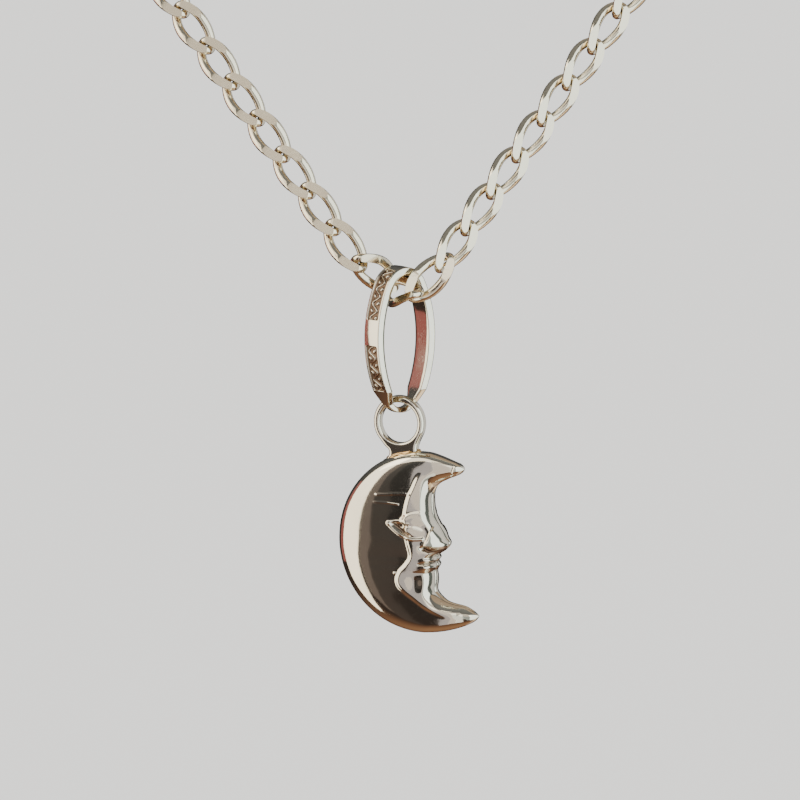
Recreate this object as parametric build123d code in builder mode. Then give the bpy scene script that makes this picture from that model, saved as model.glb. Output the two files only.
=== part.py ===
# A moon necklace: an open curb chain, a plain oval bail and a puffed crescent
# moon with a face in profile. Millimetres, +Z up, front towards -Y. The origin
# is the middle of the nape, where the closed loop is held up.

import os
from math import atan2, cos, degrees, exp, hypot, pi, radians, sin, sqrt, tan

from build123d import *

os.makedirs("parts", exist_ok=True)

# Chain
wire = 0.55  # round wire of a link, before filing
link_pitch = 3.0  # wanted step from one link to the next
link_gap = 0.15  # clear space where two links hook
link_width = 2.0
link_twist = 48.0  # turn of each end of a link out of its middle plane
filed_thickness = 0.92  # across the two filed faces of the chain
shoulder_share = 0.62  # where a strand starts to bend, from middle to end
end_half = 0.4  # half of the straight run across a link's end
link_bend_share = 0.47  # of the shorter run, used up by each bend
roll_left = 0.0  # turn of each leg's links about the leg's own line
roll_right = 30.0

# The V: its legs, and the three links between them, which turn back and forth
v_half_angle = 34.4
chest_lean = 18.0  # the V leans back from the vertical by this much
leg_side = 3.6  # a leg's lowest link, from the middle of the V's bottom link
leg_rise = 3.05
bottom_links = [
    # place from the middle of the V's bottom link, and turns about X, Y and Z
    ((-1.58, 0.51, 1.28), (106, 26, -40)),
    ((0.0, 0.0, 0.0), (40, -41, -37)),
    ((2.0, -0.57, 1.05), (78, -5, 45)),
]

# Route of the right half of the chain above its leg, over the shoulder and
# round to the nape, with the radius of each bend
chain_route = [
    # x, y, z of each corner, and the radius there
    ((38.0, -86.0, -66.0), 60.0),
    ((58.0, -59.0, -37.0), 45.0),
    ((53.0, -24.0, -12.0), 40.0),
    ((28.0, 0.0, 0.0), 29.0),
]

# Bail
bail_height = 9.75
bail_width = 4.78
bail_band = 1.56  # along the hole
bail_wall = 0.55
bail_top_radius = 1.7  # outside
bail_foot_radius = 1.5
bail_foot_wall = 0.34
bail_foot_band = 0.6
bail_shoulder = 3.0  # widest level, below the middle of the top arc
bail_taper_height = 1.5  # the band narrows over this much above the foot
bail_yaw = 37.0
rim_chamfer = 0.06
panel_depth = 0.1
panel_border = 0.24  # plain metal left along each rim
panels = [
    # top and bottom of each recessed panel, as shares of the bail's height,
    # below the middle of the top arc
    (0.0, 0.22),
    (0.38, 0.65),
]

# Moon
moon_radius = 6.08
moon_side = 1.86  # middle of the outer circle, to the side of the ring
moon_thickness = 3.0
moon_yaw = -24.0
moon_tilt = -0.85  # turn in its own plane that brings its weight under the ring
puff_width = 2.6  # a section this wide has most of the full thickness
crest_share = 0.42  # of a section's width, from the outer edge to the crest
outer_roundness = 2.3
inner_roundness = 3.2
face_rise = 0.026  # shares of the moon's radius, as in the tables below
face_step = 0.05
section_steps = 14
steps_per_row = 2
moon_sections = [
    # outer edge: angle in degrees and reach; inner edge: side and height
    (61.5, 0.958, 0.457, 0.842),
    (64.0, 0.965, 0.431, 0.801),
    (72.0, 0.980, 0.321, 0.732),
    (88.0, 1.000, 0.178, 0.656),
    (102.0, 1.000, 0.123, 0.590),
    (118.0, 1.000, 0.094, 0.493),
    (138.0, 1.000, 0.105, 0.352),
    (150.0, 1.000, 0.135, 0.265),
    (163.0, 1.000, 0.219, 0.145),
    (170.5, 1.000, 0.266, 0.067),
    (177.0, 1.000, 0.311, 0.003),
    (184.0, 1.000, 0.243, -0.084),
    (190.0, 1.000, 0.196, -0.138),
    (197.0, 1.000, 0.162, -0.205),
    (203.0, 1.000, 0.177, -0.262),
    (206.5, 1.000, 0.163, -0.293),
    (211.0, 1.000, 0.172, -0.330),
    (217.0, 1.000, 0.145, -0.392),
    (226.0, 1.000, 0.143, -0.477),
    (236.0, 1.000, 0.160, -0.543),
    (248.0, 1.000, 0.225, -0.597),
    (260.0, 1.000, 0.308, -0.640),
    (276.0, 1.005, 0.434, -0.661),
    (289.0, 1.015, 0.535, -0.673),
    (307.5, 1.030, 0.640, -0.735),
    (311.6, 1.031, 0.684, -0.771),
]
face_outline = [
    # height and side of the raised face's edge, from the forehead to the chin
    (0.738, -0.023),
    (0.564, -0.082),
    (0.293, -0.153),
    (0.031, -0.153),
    (-0.164, -0.094),
    (-0.372, -0.237),
    (-0.558, -0.094),
    (-0.732, 0.156),
]
face_bumps = [
    # name, side, height, half width, half height, rise
    ("eyelid", -0.090, 0.173, 0.120, 0.065, 0.034),
    ("hollow of the brow", 0.010, 0.320, 0.080, 0.045, -0.020),
    ("side of the nose", 0.155, 0.100, 0.065, 0.115, 0.020),
    ("pinch beside the nose tip", 0.290, 0.015, 0.060, 0.070, -0.055),
    ("wing of the nose", 0.125, 0.003, 0.045, 0.035, 0.030),
    ("upper lip", 0.115, -0.155, 0.060, 0.030, 0.018),
    ("mouth", 0.100, -0.215, 0.070, 0.018, -0.020),
    ("lower lip", 0.115, -0.270, 0.060, 0.030, 0.018),
    ("chin", 0.100, -0.450, 0.080, 0.070, 0.022),
    ("cheek", -0.100, -0.360, 0.100, 0.120, 0.020),
]

# Ring on the moon
ring_hole_radius = 1.35
ring_wall = 0.47
ring_depth = 0.7
ring_lift = 0.79  # from the ring's hole to the moon's edge
ring_gap = 0.05  # to the foot of the bail
foot_width = 2.3
foot_height = 1.2  # the foot starts this far below the ring's middle
foot_sink = 0.4  # into the moon's shell

# Clasp and its end ring
end_ring_radius = 1.2  # to the middle of the wire
end_ring_wire = 0.6
hook_gap = 0.13
bolt_radius = 2.3
bolt_wire = 0.9
eye_radius = 0.9
eye_wire = 0.5


# One link of the curb chain
def bend_radii(points, share):
    """The largest bends that use up a share of the shorter run beside each."""
    radii = []
    for before, corner, after in zip(points, points[1:], points[2:]):
        back, on = before - corner, after - corner
        shorter = min(back.length, on.length)
        radii.append(share * shorter * tan(radians(back.get_angle(on)) / 2))
    return radii


link_reach = (link_pitch + wire + link_gap) / 2  # of the wire's middle line
link_half_width = (link_width - wire) / 2


def link_point(along, across):
    """A point of the link's line, turned with the link's twist."""
    turn = radians(-link_twist * along / link_reach)
    return Vector(along, across * cos(turn), across * sin(turn))


shoulder = shoulder_share * link_reach
strand_half = link_half_width / cos(radians(link_twist * shoulder_share))
link_line = [
    Vector(0, link_half_width, 0),
    link_point(shoulder, strand_half),
    link_point(link_reach, end_half),
    link_point(link_reach, -end_half),
    link_point(shoulder, -strand_half),
    Vector(0, -link_half_width, 0),
]

with BuildPart() as half_link:
    with BuildLine() as half_line:
        FilletPolyline(*link_line, radius=bend_radii(link_line, link_bend_share))
    with BuildSketch(Plane(origin=half_line.line @ 0, z_dir=half_line.line % 0)):
        Circle(wire / 2)
    sweep()

other_half = half_link.part.rotate(Axis.Z, 180)
with BuildPart() as link:
    add(half_link.part)
    add(other_half)
    split(bisect_by=Plane.XY.offset(filed_thickness / 2), keep=Keep.BOTTOM)
    split(bisect_by=Plane.XY.offset(-filed_thickness / 2), keep=Keep.TOP)


# The chain's route, from the V to the nape
side = Vector(1, 0, 0)
up_leg = Vector(0, sin(radians(chest_lean)), cos(radians(chest_lean)))
leg_face = side.cross(up_leg)
leg_line = side * sin(radians(v_half_angle)) + up_leg * cos(radians(v_half_angle))

route_corners = [Vector(*corner) for corner, _ in chain_route]
leg_foot = route_corners[0] - leg_line * ((route_corners[0].X - leg_side) / leg_line.X)
v_bottom = Vector(0, leg_foot.Y, leg_foot.Z - leg_rise)
nape = Vector(0, 0, 0)

with BuildLine() as half_route:
    FilletPolyline(leg_foot, *route_corners, nape, radius=[radius for _, radius in chain_route])
route_length = sum(edge.length for edge in half_route.line.edges())


def mirrored(vector):
    """The same place or line on the other side of the middle."""
    return Vector(-vector.X, vector.Y, vector.Z)


def turned(plane, turn):
    """A plane turned about its own origin and axes."""
    return Plane(plane.location * turn)


def link_planes(count, step, roll, to_left):
    """Planes of the links up one leg, carried along the route without twist."""
    planes = []
    face = leg_face
    for place in range(count):
        share = place * step / route_length
        middle = half_route.line @ share
        onward = half_route.line % share
        face = (face - onward * face.dot(onward)).normalized()
        if to_left:
            plane = Plane(mirrored(middle), x_dir=mirrored(onward) * -1, z_dir=mirrored(face))
        else:
            plane = Plane(middle, x_dir=onward, z_dir=face)
        planes.append(turned(plane, Rot(X=roll)))
    return planes


# Lengths along the nape, from the last link of the right leg to that of the left
ring_hook = link_reach - (wire + end_ring_wire) / 2 - hook_gap
ring_to_bolt = end_ring_radius + bolt_radius - (end_ring_wire + bolt_wire) / 2 - hook_gap
bolt_to_eye = bolt_radius + bolt_wire / 2 + eye_radius - eye_wire / 4
eye_hook = link_reach - (wire + eye_wire) / 2 - hook_gap
link_to_ring = ring_hook + end_ring_radius
clasp_span = link_to_ring + ring_to_bolt + bolt_to_eye + eye_radius + eye_hook

# As many links as the route holds, evenly spaced, the same on each side
steps_per_side = round((2 * route_length - clasp_span) / link_pitch / 2)
link_step = (2 * route_length - clasp_span) / 2 / steps_per_side
right_planes = link_planes(steps_per_side + 1, link_step, roll_right, False)
left_planes = link_planes(steps_per_side + 1, link_step, roll_left, True)
leg_places = [plane.location for plane in right_planes + left_planes]
bottom_places = [Pos(*v_bottom) * Location(place, turns) for place, turns in bottom_links]

chain = Compound(
    label="chain",
    children=[place * link.part for place in bottom_places + leg_places],
)
export_step(chain, "parts/chain.step")

loop_length = 2 * route_length + (len(bottom_links) + 1) * link_pitch
print("links", len(chain.solids()), "step", round(link_step, 4))
print("loop length", round(loop_length, 1), "bottom of the V", v_bottom)
print("bends of the route", [radius for _, radius in chain_route])


# End ring and clasp, in line at the nape, from the right leg's last link
def wire_across(plane, end):
    """The line that the wire takes across a link's front end, 1, or back end, -1."""
    turn = radians(-link_twist * end)
    return plane.y_dir * cos(turn) + plane.z_dir * sin(turn)


def wire_ring(middle, normal, start, radius, thickness):
    """A closed ring of round wire, begun on the side that start points to."""
    with BuildPart() as ring:
        section = Plane(middle + start * radius, x_dir=start, z_dir=normal.cross(start))
        with BuildSketch(section):
            Circle(thickness / 2)
        revolve(axis=Axis(middle, normal))
    return ring.part


last_right, last_left = right_planes[-1], left_planes[-1]
inward = last_right.x_dir
ring_normal = wire_across(last_right, 1)
end_ring_middle = last_right.origin + inward * link_to_ring
bolt_middle = end_ring_middle + inward * ring_to_bolt
eye_middle = bolt_middle + inward * bolt_to_eye

end_ring = wire_ring(end_ring_middle, ring_normal, inward, end_ring_radius, end_ring_wire)
end_ring.label = "end_ring"
export_step(end_ring, "parts/end_ring.step")

bolt_ring = wire_ring(bolt_middle, ring_normal.cross(inward), -inward, bolt_radius, bolt_wire)
eye_ring = wire_ring(eye_middle, wire_across(last_left, -1), inward, eye_radius, eye_wire)
with BuildPart() as clasp:
    add(bolt_ring)
    add(eye_ring)
clasp.part.label = "clasp"
export_step(clasp.part, "parts/clasp.step")


# Bail
def facing(middle, yaw):
    """A plane that stands upright and faces the front, turned by its yaw."""
    turn = radians(yaw)
    return Plane(middle, x_dir=(cos(turn), sin(turn), 0), z_dir=(sin(turn), -cos(turn), 0))


def side_arc(half_width, end_radius, reach):
    """Radius of the arc from the widest level to an end arc, and its angle."""
    radius = (half_width**2 - end_radius**2 + reach**2) / (2 * (half_width - end_radius))
    return radius, degrees(atan2(reach, radius - half_width))


def oval(half_width, top_radius, foot_radius, foot_middle):
    """A hanging oval of six arcs, from the middle of its top arc."""
    above, turn_above = side_arc(half_width, top_radius, bail_shoulder)
    below, turn_below = side_arc(half_width, foot_radius, foot_middle - bail_shoulder)
    out_above, out_below = above - half_width, below - half_width
    with BuildSketch(mode=Mode.PRIVATE) as outline:
        with BuildLine():
            CenterArc((0, 0), top_radius, turn_above, 180 - 2 * turn_above)
            CenterArc((out_above, -bail_shoulder), above, 180 - turn_above, turn_above)
            CenterArc((out_below, -bail_shoulder), below, 180, turn_below)
            CenterArc((0, -foot_middle), foot_radius, 180 + turn_below, 180 - 2 * turn_below)
            CenterArc((-out_below, -bail_shoulder), below, -turn_below, turn_below)
            CenterArc((-out_above, -bail_shoulder), above, 0, turn_above)
        make_face()
    return outline.sketch


bail_drop = bail_height - bail_top_radius
bail_half_width = bail_width / 2
foot_middle = bail_drop - bail_foot_radius
inner_foot_radius = bail_foot_radius - bail_wall
inner_foot_middle = bail_drop - bail_foot_wall - inner_foot_radius
# The ring hangs on the foot of the bail, which crosses its hole at an angle
crossing = radians(90 - bail_yaw + moon_yaw)
crossing_half = (bail_foot_band / cos(crossing) + ring_depth * tan(crossing)) / 2
crossing_reach = crossing_half * sin(crossing) + ring_depth / 2 * cos(crossing)
foot_curve = inner_foot_radius - sqrt(inner_foot_radius**2 - crossing_reach**2)
foot_hold = bail_foot_wall + foot_curve
hang = sqrt(ring_hole_radius**2 - crossing_half**2) - foot_curve - ring_gap
bail_to_ring = bail_drop - bail_foot_wall + hang
ring_middle = v_bottom - Vector(0, 0, bail_to_ring)

bail_outside = oval(bail_half_width, bail_top_radius, bail_foot_radius, foot_middle)
bail_inside = oval(
    bail_half_width - bail_wall,
    bail_top_radius - bail_wall,
    inner_foot_radius,
    inner_foot_middle,
)
panel_floor = oval(
    bail_half_width - panel_depth,
    bail_top_radius - panel_depth,
    bail_foot_radius - panel_depth,
    foot_middle,
)
bail_plane = facing(v_bottom, bail_yaw)
bail_edge_on = Plane(v_bottom, x_dir=bail_plane.z_dir, z_dir=-bail_plane.x_dir)

with BuildPart() as bail:
    with BuildSketch(bail_plane):
        add(bail_outside)
        add(bail_inside, mode=Mode.SUBTRACT)
    extrude(amount=bail_band / 2, both=True)
    rims = bail.faces().filter_by(Axis(v_bottom, bail_plane.z_dir)).edges()
    chamfer(rims, rim_chamfer)
    for top, bottom in panels:
        with BuildSketch(bail_plane):
            add(bail_outside)
            add(panel_floor, mode=Mode.SUBTRACT)
            with Locations((-bail_half_width, -(top + bottom) * bail_height / 2)):
                Rectangle(bail_width, (bottom - top) * bail_height, mode=Mode.INTERSECT)
        extrude(amount=bail_band / 2 - panel_border, both=True, mode=Mode.SUBTRACT)
    for way in (-1, 1):
        with BuildSketch(bail_edge_on):
            with BuildLine():
                Polyline(
                    (way * bail_band / 2, -bail_drop + bail_taper_height),
                    (way * bail_foot_band / 2, -bail_drop + foot_hold),
                    (way * bail_foot_band / 2, -bail_height),
                    (way * bail_band, -bail_height),
                    (way * bail_band, -bail_drop + bail_taper_height),
                    close=True,
                )
            make_face()
        extrude(amount=bail_width, both=True, mode=Mode.SUBTRACT)
bail.part.label = "bail"
export_step(bail.part, "parts/bail.step")


# Moon
edge_below_ring = ring_hole_radius + ring_lift
moon_drop = edge_below_ring + sqrt(moon_radius**2 - moon_side**2)
moon_plane = facing(ring_middle, moon_yaw)
crescent_plane = turned(moon_plane, Rot(Z=moon_tilt))


def between(rows, place):
    """Smooth values between the rows of a table, at a place counted in rows."""
    row = min(int(place), len(rows) - 2)
    share = place - row
    picked = [rows[min(max(row + step, 0), len(rows) - 1)] for step in (-1, 0, 1, 2)]
    values = []
    for before, start, end, after in zip(*picked):
        value = 2 * start + (end - before) * share
        value += (2 * before - 5 * start + 4 * end - after) * share**2
        value += (3 * start - before - 3 * end + after) * share**3
        values.append(value / 2)
    return values


def dome(share):
    """Height of the puffed shell from its outer edge, 0, to its inner edge, 1."""
    if share < crest_share:
        away, roundness = 1 - share / crest_share, outer_roundness
    else:
        away, roundness = (share - crest_share) / (1 - crest_share), inner_roundness
    return max(0.0, 1 - away**roundness) ** (1 / roundness)


def relief(across, height):
    """Rise of the face above the plain shell."""
    rise = 0.0
    for (upper, upper_side), (lower, lower_side) in zip(face_outline, face_outline[1:]):
        if lower <= height < upper:
            edge = lower_side + (upper_side - lower_side) * (height - lower) / (upper - lower)
            rise = face_rise * min(1.0, max(0.0, (across - edge) / face_step))
    for _, bump_side, bump_height, half_wide, half_high, bump_rise in face_bumps:
        far = hypot((across - bump_side) / half_wide, (height - bump_height) / half_high)
        rise += bump_rise * exp(-(far**2))
    return rise


def moon_section(place, way):
    """Points of a section, from the outer edge over one half to the inner; one at a tip."""
    angle, reach, inner_side, inner_height = between(moon_sections, place)
    outer_side = reach * cos(radians(angle))
    outer_height = reach * sin(radians(angle))
    if place in (0, len(moon_sections) - 1):
        inner_side, inner_height = outer_side, outer_height
    width = hypot(inner_side - outer_side, inner_height - outer_height) * moon_radius
    crest = moon_thickness / 2 * (1 - exp(-width / puff_width))
    points = []
    for step in range(section_steps + 1):
        share = (1 - cos(pi * step / section_steps)) / 2
        across = outer_side + (inner_side - outer_side) * share
        height = outer_height + (inner_height - outer_height) * share
        puff = dome(share)
        depth = crest * puff + relief(across, height) * moon_radius * min(1.0, puff)
        place_on_moon = (
            moon_side + across * moon_radius,
            height * moon_radius - moon_drop,
            way * depth,
        )
        points.append(crescent_plane.from_local_coords(place_on_moon))
    return points


def between_sections(section, next_section):
    """Triangles between two neighbouring sections, none where they meet."""
    faces = []
    for near, near_on, far, far_on in zip(section, section[1:], next_section, next_section[1:]):
        for corners in ((near, near_on, far_on), (near, far_on, far)):
            sides = [(corners[turn] - corners[turn - 1]).length for turn in range(3)]
            if min(sides) > 1e-6:
                faces.append(Face(Wire.make_polygon(corners, close=True)))
    return faces


moon_faces = []
row_places = [step / steps_per_row for step in range((len(moon_sections) - 1) * steps_per_row + 1)]
for way in (-1, 1):
    sections = [moon_section(place, way) for place in row_places]
    for section, next_section in zip(sections, sections[1:]):
        moon_faces += between_sections(section, next_section)
crescent = Solid(Shell(moon_faces))
print("moon faces", len(moon_faces), "from bail to ring", round(bail_to_ring, 2))

with BuildPart() as moon:
    with BuildSketch(moon_plane):
        Circle(ring_hole_radius + ring_wall)
        with Locations((0, -foot_height)):
            Rectangle(
                foot_width,
                edge_below_ring + foot_sink - foot_height,
                align=(Align.CENTER, Align.MAX),
            )
        Circle(ring_hole_radius, mode=Mode.SUBTRACT)
    extrude(amount=ring_depth / 2, both=True)
    add(crescent)
moon.part.label = "moon"
print("weight of the moon, from its ring", moon_plane.to_local_coords(moon.part.center()))
export_step(moon.part, "parts/moon.step")
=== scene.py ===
# %% [markdown]
# # A moon necklace in polished gold
#
# The real thing is a small charm on a chain: a puffed crescent moon with a face
# in profile, a flat ring soldered on its top, an oval bail, and an open curb
# chain that closes at the nape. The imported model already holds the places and
# sizes. This lesson gives each piece its smooth surface and its metal, and then
# sets up a camera, a floor and soft light.

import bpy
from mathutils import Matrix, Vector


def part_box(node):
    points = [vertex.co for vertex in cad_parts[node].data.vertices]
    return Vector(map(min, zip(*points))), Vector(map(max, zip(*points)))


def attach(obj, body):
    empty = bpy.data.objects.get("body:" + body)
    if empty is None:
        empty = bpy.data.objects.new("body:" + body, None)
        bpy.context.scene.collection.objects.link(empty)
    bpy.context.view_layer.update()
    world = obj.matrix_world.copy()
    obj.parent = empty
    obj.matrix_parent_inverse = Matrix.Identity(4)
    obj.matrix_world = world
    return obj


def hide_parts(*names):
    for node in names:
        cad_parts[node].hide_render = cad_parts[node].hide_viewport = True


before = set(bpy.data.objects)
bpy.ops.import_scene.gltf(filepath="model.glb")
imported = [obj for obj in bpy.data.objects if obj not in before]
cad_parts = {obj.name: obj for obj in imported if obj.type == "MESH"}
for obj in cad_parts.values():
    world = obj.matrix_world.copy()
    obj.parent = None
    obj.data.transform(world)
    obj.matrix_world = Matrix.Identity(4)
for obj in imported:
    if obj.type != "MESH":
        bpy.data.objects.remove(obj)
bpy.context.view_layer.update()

# %% Modules, and helpers for meshes made in code
from math import atan2, cos, degrees, hypot, pi, radians, sin, sqrt, tan

import bmesh
import bpy
import numpy as np
from mathutils import Matrix, Vector

MM = 0.001


def in_scene(name, data):
    """A new object on this data, linked to the scene."""
    thing = bpy.data.objects.new(name, data)
    bpy.context.scene.collection.objects.link(thing)
    return thing


def plain_mesh(thing):
    """The mesh that an object's modifiers or curve settings make."""
    bpy.context.view_layer.update()
    ready = thing.evaluated_get(bpy.context.evaluated_depsgraph_get())
    return bpy.data.meshes.new_from_object(ready)


def grid_faces(rows, columns, rows_close=True, columns_close=True):
    """Quads over a grid of points that are numbered row by row."""
    faces = []
    for row in range(rows if rows_close else rows - 1):
        for column in range(columns if columns_close else columns - 1):
            here = row * columns
            above = (row + 1) % rows * columns
            on = (column + 1) % columns
            faces.append((here + column, here + on, above + on, above + column))
    return faces


def new_piece(name, points, faces, material=None, sharp=None, hollow=None):
    """A smooth mesh object at the origin. Its points are in millimetres."""
    mesh = bpy.data.meshes.new(name)
    mesh.from_pydata((np.asarray(points, float) * MM).tolist(), [], faces)
    mesh.validate()
    mesh.polygons.foreach_set("use_smooth", [True] * len(mesh.polygons))
    if sharp:
        mesh.set_sharp_from_angle(angle=radians(sharp))
    if material:
        mesh.materials.append(material)
    if hollow is not None:
        film = mesh.attributes.new("hollow", "FLOAT", "POINT")
        film.data.foreach_set("value", hollow)
    return in_scene(name, mesh)


def unit(vector):
    """The same direction, one long."""
    return np.asarray(vector, float) / np.linalg.norm(vector)


# %% [markdown]
# ## The gold
#
# Polished gold is almost a mirror, so nearly all that the eye sees on it is
# what stands around it. Wear tells it from a perfect mirror: hair-fine scratches
# from cloth and skin, a soft haze where hands rub, shallow waves left by the
# polishing wheel, and a darker film in hollows that polish never reaches. One
# node group makes all four, and each gold uses it with its own amounts. It reads
# Object coordinates, so the marks stay put on each piece, and an attribute named
# "hollow" tells where the hollows are.

# %% Helpers for node trees
def feed(tree, node, inputs):
    """Gives each named input a value, or links the output of another node to it."""
    for socket, value in inputs.items():
        if isinstance(value, bpy.types.NodeSocket):
            tree.links.new(value, node.inputs[socket])
        else:
            node.inputs[socket].default_value = value


def add_node(tree, kind, inputs=None, **settings):
    """A new node with its settings made and its inputs fed."""
    node = tree.nodes.new(kind)
    for name, value in settings.items():
        setattr(node, name, value)
    feed(tree, node, inputs or {})
    return node


def group_tree(name, kind, inputs, outputs):
    """An empty node group with named sockets; inputs give their default value."""
    tree = bpy.data.node_groups.new(name, kind)
    for label, socket, value in inputs:
        made = tree.interface.new_socket(label, in_out="INPUT", socket_type=socket)
        if value is not None:
            made.default_value = value
    for label, socket in outputs:
        tree.interface.new_socket(label, in_out="OUTPUT", socket_type=socket)
    return tree


def noise(tree, place, scale, detail):
    """Soft clouds of values round 0.5, over a place."""
    inputs = {"Vector": place, "Scale": scale, "Detail": detail}
    return add_node(tree, "ShaderNodeTexNoise", inputs).outputs["Fac"]


def times_plus(tree, value, factor, added):
    """Value times factor, plus what is added."""
    inputs = {0: value, 1: factor, 2: added}
    return add_node(tree, "ShaderNodeMath", inputs, operation="MULTIPLY_ADD").outputs[0]


# %% A node group for wear
line_softness = 0.09
haze_scale, wave_scale = 420.0, 520.0
film_dulls, cloud_in_film = 0.25, 0.25
# the amounts of wear, with a usual value for each
wear_amounts = {"Polish": 0.06, "Haze": 0.05, "Scratches": 0.05, "Ripple": 0.0}


def streaks(tree, place, stretch, turn, sharpness):
    """Noise pulled out into fine lines one way; gives 1 on a line and 0 beside it."""
    pulled = {"Vector": place, "Rotation": turn, "Scale": stretch}
    mapping = add_node(tree, "ShaderNodeMapping", pulled)
    cloud = noise(tree, mapping.outputs["Vector"], 1.0, 2.0)
    step = {"Value": cloud, "From Min": sharpness, "From Max": sharpness + line_softness}
    line = add_node(tree, "ShaderNodeMapRange", step, interpolation_type="SMOOTHSTEP")
    return line.outputs["Result"]


number = "NodeSocketFloat"
inputs = [("Place", "NodeSocketVector", None), ("Hollow", number, 0.0)]
inputs += [(name, number, amount) for name, amount in wear_amounts.items()]
outputs = [(name, number) for name in ("Roughness", "Height", "Film")]
tree = worn_polish = group_tree("worn polish", "ShaderNodeTree", inputs, outputs)
given = add_node(tree, "NodeGroupInput").outputs
place, hollow = given["Place"], given["Hollow"]
along = streaks(tree, place, (900, 14000, 9000), (0.3, 0.2, 0.5), sharpness=0.6)
across = streaks(tree, place, (15000, 1100, 8000), (0.1, 0.5, 0.9), sharpness=0.63)
lines = {0: along, 1: across}
both = add_node(tree, "ShaderNodeMath", lines, operation="MAXIMUM").outputs[0]
cloud = noise(tree, place, haze_scale, detail=4.0)
waves = noise(tree, place, wave_scale, detail=1.0)

hazed = times_plus(tree, cloud, given["Haze"], given["Polish"])
scratched = times_plus(tree, both, given["Scratches"], hazed)
dull = times_plus(tree, hollow, film_dulls, scratched)
film = times_plus(tree, cloud, cloud_in_film, hollow)
swell = times_plus(tree, waves, given["Ripple"], both)
add_node(tree, "NodeGroupOutput", {"Roughness": dull, "Film": film, "Height": swell})
print("nodes for wear", len(tree.nodes))

# %% The golds of this necklace
scratch_strength, scratch_depth = 0.25, 0.0006 * MM


def gold(name, clean, filmed, *amounts):
    """Polished gold: clean colour, colour under the film, and its amounts of wear."""
    material = bpy.data.materials.new(name)
    material.use_nodes = True
    tree = material.node_tree
    place = add_node(tree, "ShaderNodeTexCoord").outputs["Object"]
    hollow = add_node(tree, "ShaderNodeAttribute", attribute_name="hollow").outputs["Fac"]
    inputs = {"Place": place, "Hollow": hollow, **dict(zip(wear_amounts, amounts))}
    wear = add_node(tree, "ShaderNodeGroup", inputs, node_tree=worn_polish).outputs
    shades = {"Factor": wear["Film"], "A": (*clean, 1), "B": (*filmed, 1)}
    colour = add_node(tree, "ShaderNodeMix", shades, data_type="RGBA", clamp_factor=True)
    marks = {"Height": wear["Height"], "Strength": scratch_strength, "Distance": scratch_depth}
    surface = {
        "Metallic": 1.0,
        "Base Color": colour.outputs["Result"],
        "Roughness": wear["Roughness"],
        "Normal": add_node(tree, "ShaderNodeBump", marks).outputs["Normal"],
    }
    feed(tree, tree.nodes["Principled BSDF"], surface)
    return material


pale_gold, warmer_gold = (0.86, 0.79, 0.63), (0.85, 0.76, 0.57)
solder_bronze = (0.60, 0.39, 0.17)
film_brown, film_dark = (0.46, 0.36, 0.25), (0.16, 0.105, 0.07)
# the last four numbers are polish, haze, scratches and ripple
chain_gold = gold("chain gold", warmer_gold, film_brown, 0.10, 0.10, 0.08, 30)
charm_gold = gold("charm gold", pale_gold, film_dark, 0.05, 0.05, 0.05, 110)
bail_gold = gold("bail gold", pale_gold, film_dark, 0.06, 0.06, 0.06, 40)
solder_gold = gold("solder gold", solder_bronze, film_brown, 0.16, 0.15, 0.05, 60)
for metal in (chain_gold, charm_gold, bail_gold, solder_gold):
    print(metal.name, "has", len(metal.node_tree.nodes), "nodes")

# %% [markdown]
# ## Lines with rounded corners
#
# The way that a chain takes from the chest over a shoulder to the nape has nearly
# straight runs and round bends. One helper cuts every corner of such a line with
# an arc. Another measures along it, so that the links can stand at even steps.


# %% A line of runs and arcs
def rounded_line(points, radii, arc_step):
    """Points of straight runs and the arcs between them, with a radius for each corner."""
    points = [np.asarray(point, float) for point in points]
    line = [points[0]]
    for before, corner, after, radius in zip(points, points[1:], points[2:], radii):
        back, on = unit(before - corner), unit(after - corner)
        half = np.arccos(np.clip(back @ on, -1, 1)) / 2
        middle = corner + unit(back + on) * radius / sin(half)
        start = corner + back * radius / tan(half) - middle
        end = corner + on * radius / tan(half) - middle
        turn = pi - 2 * half
        steps = max(2, int(degrees(turn) / arc_step))
        for share in np.arange(steps + 1) / steps:
            spread = sin((1 - share) * turn) * start + sin(share * turn) * end
            line.append(middle + spread / sin(turn))
    return np.array([*line, points[-1]])


def distances_along(line):
    """How far each point of a line lies from the first one, along the line."""
    lengths = np.linalg.norm(np.diff(line, axis=0), axis=1)
    return np.concatenate([[0], np.cumsum(lengths)])


# %% [markdown]
# ## One link
#
# A curb link starts as an oval of round wire. It is twisted until its two ends
# stand across each other, and when the chain is made its faces are filed flat,
# which gives every strand a bright facet that runs out towards the end. The mesh
# is a tube round the bent line, whose points are pressed down to the filed
# level. Two rows of points follow the rims of each facet, so the rims are crisp.

# %% The wire's bent line
wire, link_pitch, link_gap = 0.55, 3.0, 0.15
link_twist, filed_thickness = radians(48), 0.82
link_reach = (link_pitch + wire + link_gap) / 2
oval_half, oval_power = 0.83, 2.2
strand_width, least_facet = 0.64, 0.3
link_sections, side_points = 48, 7
fine_steps, weight_of_run = 1200, 0.4


def link_point(turn):
    """A point of the wire's middle line: a full oval, turned with the link's twist."""
    power = 2 / oval_power
    along = link_reach * np.sign(cos(turn)) * abs(cos(turn)) ** power
    across = oval_half * np.sign(sin(turn)) * abs(sin(turn)) ** power
    twist = -link_twist * along / link_reach
    return np.array([along, across * cos(twist), across * sin(twist)])


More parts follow.
